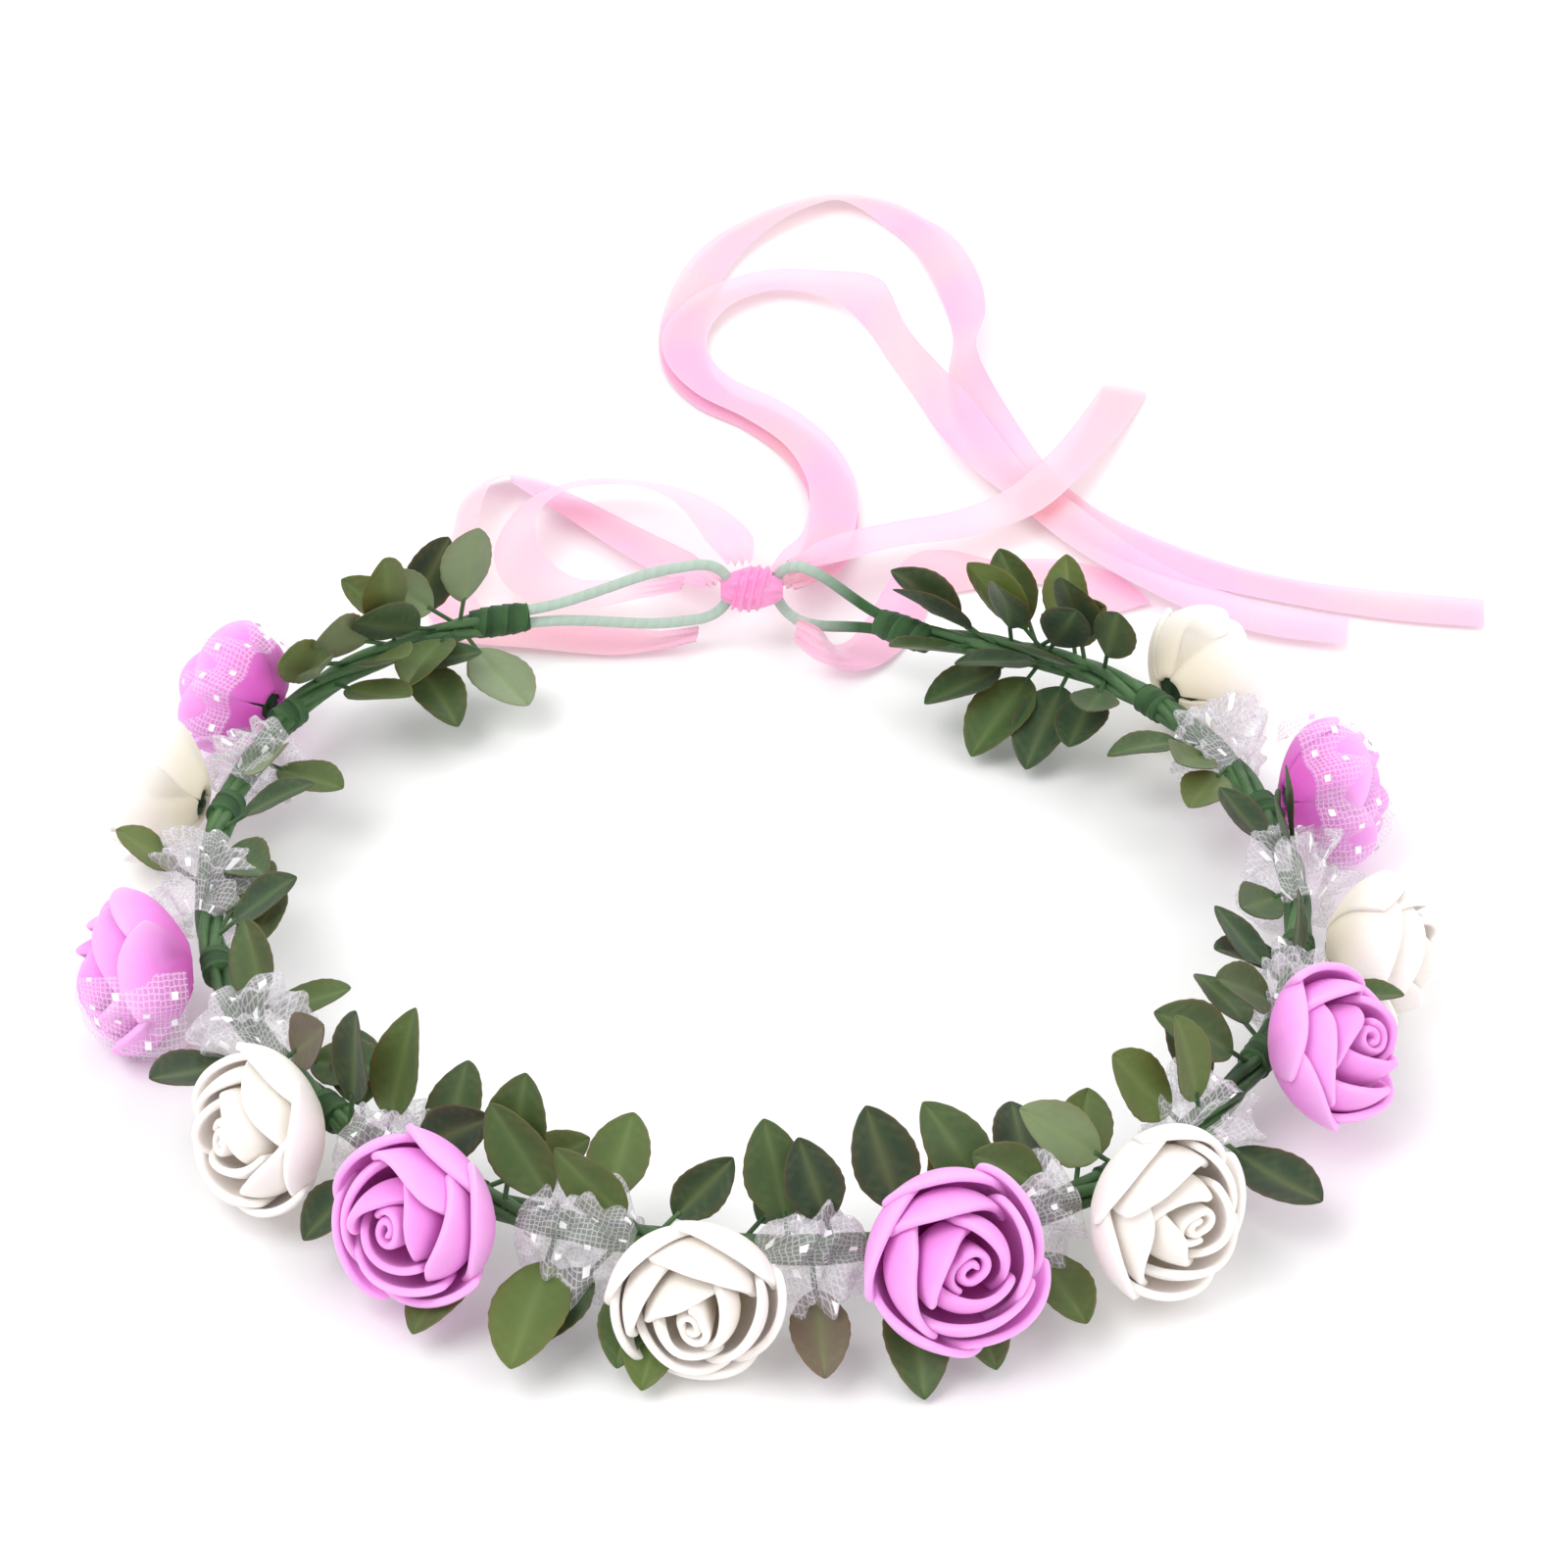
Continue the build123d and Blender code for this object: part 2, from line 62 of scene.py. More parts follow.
# ------------------------------------------------------------------ the part's dimensions
BAND_HEIGHT = 12.8
BAND_COURSE = [
    (-239, 99), (-228, 102), (-217, 103), (-206, 99), (-194, 97), (-180, 94), (-166, 93),
    (-150, 91), (-132, 91), (-112, 93), (-92, 94), (-74, 96), (-56, 97), (-38, 97),
    (-20, 96), (-2, 95), (14, 95), (30, 95), (45, 94), (58, 90), (69, 86),
]
WIRE_RADIUS = 1.05
LOOP_HALF_HEIGHT = 6.2
LEFT_NOSE = (-4.5, 94.0)
RIGHT_NOSE = (4.0, 95.0)
NOSE_HEIGHT = 15.0
KNOT_CENTRE = Vector((-0.4, 93.5, 15.0))
KNOT_HALF_LENGTH = 6.0
KNOT_RADIUS = 4.2

# Ribbon routes: (x, y, height of the lower edge, roll)
RIBBON_WIDTH = 10.0
GATHERED_WIDTH = 4.5
GATHER_LENGTH = 16.0
RIBBON_ROUTES = {
    "tail_1": [
        (6, 103, 9.5, 0), (9, 111, 6.0, 0), (14, 124, 2.6, 4), (16, 141, 1.0, 5),
        (15, 156, 0.8, 0), (10, 171, 0.8, 0), (1, 184, 0.8, 0), (-9, 193, 0.8, 0),
        (-15, 205, 0.8, 0), (-17, 222, 0.8, 0), (-15, 241, 0.8, 0), (-10, 258, 0.8, -3),
        (-3, 271, 0.8, -8), (7, 282, 0.8, -15), (19, 288, 0.8, -18), (31, 282, 0.8, -5),
        (40, 266, 0.8, 12), (45, 244, 0.8, 25), (47, 221, 0.8, 45), (45, 201, 0.8, 57),
        (48, 183, 0.8, 35), (55, 164, 0.8, 8), (64, 148, 0.8, 0), (76, 134, 0.8, 0),
        (92, 122, 0.8, 0), (109, 114, 0.8, 0), (126, 109, 0.8, 0), (144, 106, 0.8, 0),
    ],
    "tail_2": [
        (5, 104, 12.0, 0), (8, 113, 8.6, 0), (14, 127, 5.0, 4), (16, 143, 3.4, 5),
        (15, 157, 3.0, 0), (10, 172, 3.0, 0), (1, 185, 3.0, 0), (-9, 195, 3.0, 0),
        (-15, 207, 3.0, 0), (-16, 220, 3.0, 0), (-12, 232, 3.0, 0), (-5, 240, 3.0, 0),
        (4, 244, 3.0, 0), (14, 242, 3.0, 4), (22, 235, 3.0, 25), (27, 221, 3.0, 60),
        (31, 204, 3.0, 72), (37, 187, 3.0, 60), (44, 173, 3.0, 25), (52, 158, 3.0, 0),
        (60, 145, 3.0, 0), (69, 130, 3.0, 0), (79, 117, 3.0, 0), (90, 107, 2.6, 0),
        (102, 101, 2.2, 0), (116, 98, 2.0, 0),
    ],
    "tail_3": [
        (8, 103, 14.0, 0), (13, 111, 11.0, 0), (20, 120, 8.4, 0), (30, 126, 7.2, 0),
        (42, 131, 6.4, 0), (54, 141, 5.8, 0), (63, 155, 5.6, 0), (72, 176, 3.0, 0),
        (80, 198, 0.8, 0),
    ],
    "tail_4": [
        (8, 86.4, 8.5, 45), (13, 85, 5.0, 40), (18, 87.5, 2.4, 12), (23, 94, 1.4, 0),
        (28, 103, 1.0, 15), (33, 113, 0.8, 50), (40, 119, 0.8, 30), (50, 122, 0.6, 0),
        (60, 122, 0.6, 0), (69, 117, 0.6, 0), (74, 108, 0.6, 0),
    ],
    "bow_loop_a": [
        (-3, 104, 14.0, 0), (-4, 113, 11.0, 5), (-7, 126, 8.0, 10), (-13, 138, 6.4, 18),
        (-22, 145, 6.0, 22), (-33, 146, 6.0, 24), (-42, 141, 6.0, 30), (-47, 131, 6.0, 35),
        (-48, 120, 6.0, 30), (-44, 110, 6.0, 15), (-36, 105, 6.0, 5), (-25, 104, 7.5, 0),
        (-14, 102, 10.5, 0),
    ],
    "bow_loop_b": [
        (-8, 106, 8.0, 0), (-15, 117, 5.0, 0), (-26, 132, 2.0, 5), (-39, 147, 1.0, 12),
        (-50, 156, 1.0, 25), (-57, 150, 1.0, 40), (-59, 137, 1.0, 50), (-60, 121, 1.0, 35),
        (-60, 108, 1.0, 15), (-54, 100, 1.0, 0), (-43, 98, 1.0, 0), (-31, 96, 1.0, 0),
        (-20, 95, 1.6, 0), (-11, 94, 4.0, 0),
    ],
}
# For each ribbon: CAD nodes, body, gathered at its two ends, and where it starts and
# stops bending away from the knot.
RIBBONS = {
    "tail_1": (["ribbon_tail_1"], "tails", (True, False), (5, 101, 11), (12, 119, 3)),
    "tail_2": (["ribbon_tail_2"], "tails", (True, False), (4, 102, 13), (12, 121, 6)),
    "tail_3": (["ribbon_tail_3"], "tails", (True, False), (6, 101, 15), (24, 120, 8)),
    "tail_4": (["ribbon_tail_4_turn", "ribbon_tail_4"], "tails", (True, False), (19, 89, 2), (34, 112, 2)),
    "bow_loop_a": (["ribbon_bow_loop_a"], "bow", (True, True), (-2, 103, 14), (-14, 116, 9)),
    "bow_loop_b": (["ribbon_bow_loop_b"], "bow", (True, True), (-8, 98, 8), (-22, 112, 4)),
}


# ------------------------------------------------------------------ mesh helpers
def smooth_shade(mesh):
    mesh.polygons.foreach_set("use_smooth", [True] * len(mesh.polygons))


def make_object(name, points, faces, material, uvs=None, values=None):
    """A mesh piece from points in millimetres, with a UV and named values per point."""
    mesh = bpy.data.meshes.new(name)
    mesh.from_pydata([tuple(c * MM for c in point) for point in points], [], faces)
    if uvs is not None:
        layer = mesh.uv_layers.new(name="UVMap")
        for loop in mesh.loops:
            layer.data[loop.index].uv = uvs[loop.vertex_index]
    for key, numbers in (values or {}).items():
        attribute = mesh.attributes.new(key, "FLOAT", "POINT")
        attribute.data.foreach_set("value", numbers)
    smooth_shade(mesh)
    mesh.materials.append(material)
    piece = bpy.data.objects.new(name, mesh)
    bpy.context.scene.collection.objects.link(piece)
    return piece


def grid_faces(rows, columns, start=0, closed=False):
    """Quads between rows of points, round each row if it is closed."""
    faces = []
    around = columns if closed else columns - 1
    for row in range(rows - 1):
        for column in range(around):
            following = (column + 1) % columns
            a = start + row * columns + column
            b = start + row * columns + following
            faces.append((a, b, b + columns, a + columns))
    return faces


def add_modifier(piece, kind, **settings):
    modifier = piece.modifiers.new(kind.lower(), kind)
    for key, value in settings.items():
        setattr(modifier, key, value)
    return modifier


def thicken(piece, thickness, levels=1, offset=-1.0):
    """Gives a sheet its thickness in millimetres, with rounded edges."""
    add_modifier(piece, "SOLIDIFY", thickness=thickness * MM, offset=offset)
    if levels:
        add_modifier(piece, "SUBSURF", levels=levels, render_levels=levels)


def frames_along(line):
    """(tangent, side, up) at each point of a line, turning as little as they can."""
    tangents = []
    for index in range(len(line)):
        before = line[max(index - 1, 0)]
        after = line[min(index + 1, len(line) - 1)]
        tangents.append((after - before).normalized())
    side = tangents[0].orthogonal().normalized()
    result = []
    for tangent in tangents:
        side = (side - tangent * side.dot(tangent)).normalized()
        result.append((tangent, side, tangent.cross(side)))
    return result


def tube_points(line, radius, around, start_angle=0.0):
    """Points round a line.  radius is a number, or a function of (distance, angle)."""
    points, uvs = [], []
    travelled = 0.0
    for index, (spot, (_, side, up)) in enumerate(zip(line, frames_along(line))):
        if index:
            travelled += (spot - line[index - 1]).length
        for step in range(around):
            angle = 2 * math.pi * step / around + start_angle
            size = radius(travelled, angle) if callable(radius) else radius
            points.append(spot + (side * math.cos(angle) + up * math.sin(angle)) * size)
            uvs.append((step / around, travelled / 10))
    return points, uvs


def tube_mesh(lines, radius, around=12):
    """Closed tubes along several lines, as points, faces and UVs of one mesh."""
    points, faces, uvs = [], [], []
    for line in lines:
        start = len(points)
        new_points, new_uvs = tube_points(line, radius, around)
        points += new_points
        uvs += new_uvs
        faces += grid_faces(len(line), around, start, closed=True)
        faces.append(tuple(range(start + around - 1, start - 1, -1)))
        last = start + (len(line) - 1) * around
        faces.append(tuple(range(last, last + around)))
    return points, faces, uvs


def bend_between(corners, steps=6):
    """A smooth line that starts and ends at the corners' ends and cuts inside the rest."""
    line = [corners[0]]
    for before, corner, after in zip(corners, corners[1:], corners[2:]):
        first = corners[0] if before is corners[0] else (before + corner) / 2
        last = corners[-1] if after is corners[-1] else (corner + after) / 2
        for step in range(1, steps + 1):
            part = step / steps
            line.append(first * (1 - part) ** 2 + corner * 2 * part * (1 - part) + last * part ** 2)
    return line


# ------------------------------------------------------------------ materials
def new_material(name, roughness, specular=0.3, sheen=0.0, subsurface=0.0):
    material = bpy.data.materials.new(name)
    material.use_nodes = True
    shader = material.node_tree.nodes["Principled BSDF"]
    shader.inputs["Roughness"].default_value = roughness
    shader.inputs["Specular IOR Level"].default_value = specular
    shader.inputs["Sheen Weight"].default_value = sheen
    shader.inputs["Subsurface Weight"].default_value = subsurface
    shader.inputs["Subsurface Scale"].default_value = 0.004
    return material, material.node_tree, shader


def add_node(tree, kind, **inputs):
    node = tree.nodes.new(kind)
    for key, value in inputs.items():
        node.inputs[key.replace("_", " ")].default_value = value
    return node


def colour_ramp(tree, factor, stops):
    """A ramp of (place, colour) fed by a factor socket."""
    ramp = tree.nodes.new("ShaderNodeValToRGB")
    elements = ramp.color_ramp.elements
    while len(elements) < len(stops):
        elements.new(0.5)
    for element, (place, colour) in zip(elements, stops):
        element.position = place
        element.color = (*colour, 1)
    tree.links.new(factor, ramp.inputs["Fac"])
    return ramp.outputs["Color"]


def noise(tree, vector, scale, detail=2.0, roughness=0.5):
    node = add_node(tree, "ShaderNodeTexNoise", Scale=scale, Detail=detail, Roughness=roughness)
    tree.links.new(vector, node.inputs["Vector"])
    return node.outputs["Fac"]


def math_node(tree, operation, first, second=None, clamp=False):
    node = tree.nodes.new("ShaderNodeMath")
    node.operation = operation
    node.use_clamp = clamp
    for index, value in enumerate((first, second)):
        if value is None:
            continue
        if isinstance(value, (int, float)):
            node.inputs[index].default_value = value
        else:
            tree.links.new(value, node.inputs[index])
    return node.outputs["Value"]


def mix_colours(tree, factor, first, second, blend="MIX"):
    node = tree.nodes.new("ShaderNodeMix")
    node.data_type = "RGBA"
    node.blend_type = blend
    for socket, value in ((node.inputs[0], factor), (node.inputs[6], first), (node.inputs[7], second)):
        if isinstance(value, (int, float)):
            socket.default_value = value
        elif isinstance(value, tuple):
            socket.default_value = (*value, 1)
        else:
            tree.links.new(value, socket)
    return node.outputs[2]


def bump(tree, shader, height, strength, distance):
    node = add_node(tree, "ShaderNodeBump", Strength=strength, Distance=distance)
    tree.links.new(height, node.inputs["Height"])
    tree.links.new(node.outputs["Normal"], shader.inputs["Normal"])


def object_place(tree):
    return tree.nodes.new("ShaderNodeTexCoord").outputs["Object"]


def uv_place(tree):
    return tree.nodes.new("ShaderNodeTexCoord").outputs["UV"]


def value_of(tree, name):
    node = tree.nodes.new("ShaderNodeAttribute")
    node.attribute_name = name
    return node.outputs["Fac"]


def foam_material(name, painted_crease_shade, middle, rim):
    """Matt foam, painted deeper in colour low down between the petals as shade and paler at the rims as a highlight,
    with fine closed cells.
    """
    material, tree, shader = new_material(name, 0.62, specular=0.25, sheen=0.15, subsurface=0.25)
    shader.inputs["Subsurface Radius"].default_value = (1.0, 0.7, 0.9)
    place = object_place(tree)
    mottle = noise(tree, place, 260, 3)
    # Painted light: low reach gets the painted crease shade, and high reach near the rims gets the painted highlight.
    height = math_node(tree, "ADD", value_of(tree, "reach"), math_node(tree, "MULTIPLY", mottle, 0.18))
    colour = colour_ramp(tree, height, [(0.15, painted_crease_shade), (0.62, middle), (1.05, rim)])
    tree.links.new(colour, shader.inputs["Base Color"])
    cells = noise(tree, place, 2600, 2, 0.7)
    bump(tree, shader, cells, 0.25, 0.0002)
    return material


def leaf_material():
    """Printed cloth leaves: a tone for each leaf, a paler midrib and pressed side veins."""
    material, tree, shader = new_material("leaf_cloth", 0.5, specular=0.35, sheen=0.1, subsurface=0.05)
    tone = value_of(tree, "tone")
    base = colour_ramp(tree, tone, [
        (0.0, (0.009, 0.034, 0.015)), (0.2, (0.017, 0.062, 0.022)), (0.42, (0.042, 0.104, 0.024)),
        (0.6, (0.100, 0.165, 0.028)), (0.75, (0.17, 0.24, 0.09)), (0.88, (0.29, 0.39, 0.27)),
        (1.0, (0.115, 0.065, 0.042)),
    ])
    place = object_place(tree)
    blotch = noise(tree, place, 170, 4, 0.6)
    shaded = mix_colours(tree, math_node(tree, "MULTIPLY", blotch, 0.30), base, (0.02, 0.04, 0.015))
    rib = value_of(tree, "vein")
    veined = mix_colours(tree, math_node(tree, "MULTIPLY", rib, 0.28), shaded, (0.22, 0.32, 0.11))
    edge = value_of(tree, "edge")
    worn = math_node(tree, "MULTIPLY", math_node(tree, "POWER", edge, 6.0), 0.35)
    tree.links.new(mix_colours(tree, worn, veined, (0.14, 0.10, 0.035)), shader.inputs["Base Color"])
    weave = noise(tree, place, 3200, 1)
    height = math_node(tree, "SUBTRACT", math_node(tree, "MULTIPLY", weave, 0.25), rib)
    bump(tree, shader, height, 0.5, 0.0003)
    roughness = math_node(tree, "ADD", math_node(tree, "MULTIPLY", blotch, 0.25), 0.36)
    tree.links.new(roughness, shader.inputs["Roughness"])
    return material


def stem_material(name, dark, light, scale=30.0):
    """Green coated stems and waxed tape, with streaks along them and small creases."""
    material, tree, shader = new_material(name, 0.42, specular=0.4)
    stretch = add_node(tree, "ShaderNodeMapping", Scale=(scale, 1.2, 1.0))
    tree.links.new(uv_place(tree), stretch.inputs["Vector"])
    streak = noise(tree, stretch.outputs["Vector"], 2.2, 4, 0.65)
    blotch = noise(tree, object_place(tree), 120, 3)
    factor = math_node(tree, "MULTIPLY", math_node(tree, "ADD", streak, blotch), 0.5)
    tree.links.new(colour_ramp(tree, factor, [(0.35, dark), (0.68, light)]), shader.inputs["Base Color"])
    bump(tree, shader, streak, 0.35, 0.0004)
    return material


def tape_material(name, dark, light, turn, relief=0.6):
    """Crepe tape wound on a slant: overlapping edges every turn, and fine cross creases."""
    material, tree, shader = new_material(name, 0.7, specular=0.2, sheen=0.1)
    split = tree.nodes.new("ShaderNodeSeparateXYZ")
    tree.links.new(uv_place(tree), split.inputs["Vector"])
    length_way = math_node(tree, "MULTIPLY", split.outputs["Y"], 10.0 / turn)
    spiral = math_node(tree, "FRACT", math_node(tree, "ADD", length_way, split.outputs["X"]))
    creases = noise(tree, object_place(tree), 1500, 3, 0.7)
    blotch = noise(tree, object_place(tree), 200, 3)
    factor = math_node(tree, "ADD", math_node(tree, "MULTIPLY", spiral, 0.45), math_node(tree, "MULTIPLY", blotch, 0.6))
    colour = colour_ramp(tree, factor, [(0.2, dark), (0.85, light)])
    tree.links.new(colour, shader.inputs["Base Color"])
    height = math_node(tree, "ADD", spiral, math_node(tree, "MULTIPLY", creases, 0.35))
    bump(tree, shader, height, relief, 0.0003)
    return material, tree, shader, colour


# The end loops' paper: (dark, light, width of a turn, relief)
SAGE_PAPER = ((0.40, 0.50, 0.43), (0.46, 0.57, 0.49), 2.4, 0.04)


def fading_wire_material(name):
    """The same paper on the right loop, stained dark green away from the knot."""
    material, tree, shader, paper = tape_material(name, *SAGE_PAPER)
    split = tree.nodes.new("ShaderNodeSeparateXYZ")
    tree.links.new(object_place(tree), split.inputs["Vector"])
    away = math_node(tree, "MULTIPLY", math_node(tree, "SUBTRACT", split.outputs["X"], 0.009), 90, clamp=True)
    stained = mix_colours(tree, away, paper, (0.035, 0.10, 0.035))
    tree.links.new(stained, shader.inputs["Base Color"])
    return material


def organza_material(name, colour, warm, opacity):
    """Sheer organza: fine weave, denser selvedges, and a drift from pink to peach."""
    material, tree, shader = new_material(name, 0.38, specular=0.45, sheen=0.3)
    split = tree.nodes.new("ShaderNodeSeparateXYZ")
    tree.links.new(uv_place(tree), split.inputs["Vector"])
    place = object_place(tree)
    drift = noise(tree, place, 28, 2)
    tinted = colour_ramp(tree, drift, [(0.38, colour), (0.62, warm)])
    tree.links.new(tinted, shader.inputs["Base Color"])
    across = math_node(tree, "ABSOLUTE", math_node(tree, "SUBTRACT", split.outputs["X"], 0.5))
    selvedge = math_node(tree, "GREATER_THAN", across, 0.465)
    threads = add_node(tree, "ShaderNodeMapping", Scale=(60.0, 6.0, 1.0))
    tree.links.new(uv_place(tree), threads.inputs["Vector"])
    weave = noise(tree, threads.outputs["Vector"], 3.0, 2)
    wave = math_node(tree, "MULTIPLY", math_node(tree, "SUBTRACT", weave, 0.5), 0.35)
    sheer = math_node(tree, "ADD", wave, opacity)
    alpha = math_node(tree, "ADD", sheer, math_node(tree, "MULTIPLY", selvedge, 0.15), clamp=True)
    tree.links.new(alpha, shader.inputs["Alpha"])
    bump(tree, shader, weave, 0.2, 0.0002)
    return material


def tulle_material(name, colour, opacity):
    """Dotted tulle: a faint net, with small square white dots on a staggered grid."""
    material, tree, shader = new_material(name, 0.9, specular=0.04, sheen=0.35)
    split = tree.nodes.new("ShaderNodeSeparateXYZ")
    tree.links.new(uv_place(tree), split.inputs["Vector"])
    row = math_node(tree, "DIVIDE", split.outputs["Y"], 0.50)
    row_number = math_node(tree, "FLOOR", row)
    stagger = math_node(tree, "MULTIPLY", math_node(tree, "MODULO", row_number, 2.0), 0.5)
    column = math_node(tree, "ADD", math_node(tree, "DIVIDE", split.outputs["X"], 0.62), stagger)
    near_row = math_node(tree, "ABSOLUTE", math_node(tree, "SUBTRACT", math_node(tree, "FRACT", row), 0.5))
    near_column = math_node(tree, "ABSOLUTE", math_node(tree, "SUBTRACT", math_node(tree, "FRACT", column), 0.5))
    in_row = math_node(tree, "LESS_THAN", near_row, 0.115)
    in_column = math_node(tree, "LESS_THAN", near_column, 0.09)
    dot = math_node(tree, "MULTIPLY", in_row, in_column)
    tree.links.new(mix_colours(tree, dot, colour, (0.95, 0.95, 0.97)), shader.inputs["Base Color"])
    cells = add_node(tree, "ShaderNodeTexVoronoi", Scale=11.0, Randomness=0.25)
    cells.feature = "DISTANCE_TO_EDGE"
    tree.links.new(uv_place(tree), cells.inputs["Vector"])
    net = math_node(tree, "LESS_THAN", cells.outputs["Distance"], 0.11)
    faint = math_node(tree, "ADD", math_node(tree, "MULTIPLY", net, 0.30), opacity)
    alpha = math_node(tree, "MAXIMUM", faint, math_node(tree, "MULTIPLY", dot, 0.95), clamp=True)
    tree.links.new(alpha, shader.inputs["Alpha"])
    bump(tree, shader, math_node(tree, "ADD", net, dot), 0.15, 0.0001)
    return material


# Each foam's colours: painted crease shade, lit tone, painted rim highlight.
PINK_FOAM = foam_material("pink_foam", (0.70, 0.07, 0.50), (0.88, 0.27, 0.77), (0.92, 0.42, 0.85))
IVORY_FOAM = foam_material("ivory_foam", (0.91, 0.77, 0.58), (0.94, 0.86, 0.79), (0.95, 0.90, 0.87))
LEAF = leaf_material()
STEM = stem_material("green_stems", (0.012, 0.045, 0.014), (0.10, 0.22, 0.075))
TAPE = tape_material("green_tape", (0.012, 0.04, 0.014), (0.055, 0.13, 0.045), 4.0)[0]
SAGE = tape_material("sage_paper", *SAGE_PAPER)[0]
FADING_SAGE = fading_wire_material("fading_sage_paper")
ORGANZA = organza_material("pink_organza", (0.98, 0.47, 0.72), (1.0, 0.55, 0.64), 0.76)
KNOT_ORGANZA = organza_material("knotted_organza", (0.97, 0.30, 0.62), (1.0, 0.40, 0.66), 0.94)
TULLE = tulle_material("dotted_tulle", (0.80, 0.77, 0.82), 0.24)
VEIL = tulle_material("light_tulle", (0.93, 0.86, 0.95), 0.10)


# ------------------------------------------------------------------ band, wires, windings
def polar(angle, radius, height=BAND_HEIGHT):
    turn = math.radians(angle)
    return Vector((radius * math.cos(turn), radius * math.sin(turn), height))


BAND_LINE = bend_between([polar(angle, radius) for angle, radius in BAND_COURSE])


def along(angle):
    return polar(angle + 90, 1, 0)


def band_spot(angle):
    """The place on the band's line nearest to an angle."""
    direction = polar(angle, 1, 0)
    return max(BAND_LINE, key=lambda spot: spot.xy.normalized().dot(direction.xy))


def dense(line, step=1.0):
    """The line again, with points about a step apart."""
    result = [line[0]]
    for before, after in zip(line, line[1:]):
        count = max(1, round((after - before).length / step))
        result += [before.lerp(after, part / count) for part in range(1, count + 1)]
    return result


def twisted_stems():
    """Five coated stems laid round each other along the whole ring."""
    line = dense(BAND_LINE, 1.5)
    frames = frames_along(line)
    lines = []
    for strand in range(5):
        rng = random.Random(40 + strand)
        reach = 1.45 + 0.1 * rng.random()
        phase = 2 * math.pi * strand / 5
        strand_line = []
        for index, (spot, (_, side, up)) in enumerate(zip(line, frames)):
            angle = phase + index * 1.5 / 62 * 2 * math.pi + 0.35 * math.sin(index * 0.05 + strand)
            strand_line.append(spot + (side * math.cos(angle) + up * math.sin(angle)) * reach)
        lines.append(strand_line)
    points, faces, uvs = tube_mesh(lines, 0.98, around=10)
    piece = make_object("twisted_stems", points, faces, STEM, uvs)
    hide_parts("band_floral_tape")
    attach(piece, ROOT)


def winding_radius(outer, turn, length=None, taper=0.5):
    """Overlapping turns of tape, each stepping down on to the last, thinner at both ends."""
    def radius(travelled, angle):
        step = (travelled / turn + angle / (2 * math.pi)) % 1
        ends = abs(2 * travelled / length - 1) ** 3 if length else 0.0
        return outer - 0.22 * step - taper * ends
    return radius


def straight(middle, direction, half_length, steps=26):
    return [middle + direction * half_length * (2 * step / steps - 1) for step in range(steps + 1)]


def loop_ends():
    """The two ends of the ring, each with the nose of its wire loop."""
    return [
        (BAND_LINE[0], Vector((*LEFT_NOSE, NOSE_HEIGHT))),
        (BAND_LINE[-1], Vector((*RIGHT_NOSE, NOSE_HEIGHT))),
    ]


NECK_WINDING = 11.2


def tape_windings():
    """Short windings of tape at every rose, and over the necks of the two wire loops."""
    lines = []
    for number in range(1, 13):
        hinge = Vector(joint_of(f"rose_{number:02d}")["pos_m"]) / MM
        angle = math.degrees(math.atan2(hinge.y, hinge.x))
        lines.append(straight(band_spot(angle), along(angle), 2.6))
    points, faces, uvs = tube_mesh(lines, winding_radius(2.95, 1.9), around=28)
    neck_lines = []
    for end, nose in loop_ends():
        direction = (nose - end).normalized()
        neck_lines.append(straight(end + direction * 2.5, direction, NECK_WINDING / 2, 44))
    neck_radius = winding_radius(3.1, 2.2, NECK_WINDING)
    neck_points, neck_faces, neck_uvs = tube_mesh(neck_lines, neck_radius, around=28)
    shift = len(points)
    faces += [tuple(corner + shift for corner in face) for face in neck_faces]
    piece = make_object("tape_windings", points + neck_points, faces, TAPE, uvs + neck_uvs)
    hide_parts("wire_bindings")
    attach(piece, ROOT)


def wire_loop(name, end, nose, node, paper):
    """Paper-wound wire bent back on itself in a long upright teardrop."""
    length_way = nose - end
    length = length_way.length
    forward = length_way.normalized()
    level = Vector((forward.x, forward.y, 0)).normalized()
    upward = level.cross(Vector((0, 0, 1))).cross(forward)
    half = [(0.6, 1.15), (0.25 * length, 1.4), (0.45 * length, 3.3), (0.68 * length, LOOP_HALF_HEIGHT - 0.2)]
    corners = half + [(0.86 * length, LOOP_HALF_HEIGHT)]
    for step in range(9):
        turn = math.pi * (0.5 - step / 8)
        centre = length - LOOP_HALF_HEIGHT
        corners.append((centre + LOOP_HALF_HEIGHT * math.cos(turn), LOOP_HALF_HEIGHT * math.sin(turn)))
    corners += [(x, -y) for x, y in reversed(half + [(0.86 * length, LOOP_HALF_HEIGHT)])]
    kept = [place for index, place in enumerate(corners) if index == 0 or place != corners[index - 1]]
    line = bend_between([end + forward * x + upward * y for x, y in kept], steps=5)
    points, faces, uvs = tube_mesh([dense(line, 0.8)], WIRE_RADIUS, around=16)
    piece = make_object(name, points, faces, paper, uvs)
    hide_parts(node)
    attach(piece, ROOT)


# ------------------------------------------------------------------ roses
def joint_of(body):
    """The joint whose child is this body."""
    return next(joint for joint in frame["joints"] if joint["child"] == body)


def node_points(node):
    return [vertex.co / MM for vertex in NODES[node].data.vertices]


def rose_matrix(number):
    """From a rose's own millimetres, z out through its face, to the part's."""
    origin = Vector(joint_of(f"rose_{number:02d}")["pos_m"]) / MM
    bud = node_points(f"rose_{number:02d}_bud")
    middle = sum(bud, Vector()) / len(bud)
    outward = (middle - origin).normalized()
    tangent = Vector((0, 0, 1)).cross(outward).normalized()
    turned = Matrix((tangent, outward.cross(tangent), outward)).transposed()
    reach = max((point - origin).dot(outward) for point in bud)
    return Matrix.Translation(origin) @ (turned @ Matrix.Scale(reach / ROSE_HEIGHT, 3)).to_4x4()


ROSE_HEIGHT = 19.0
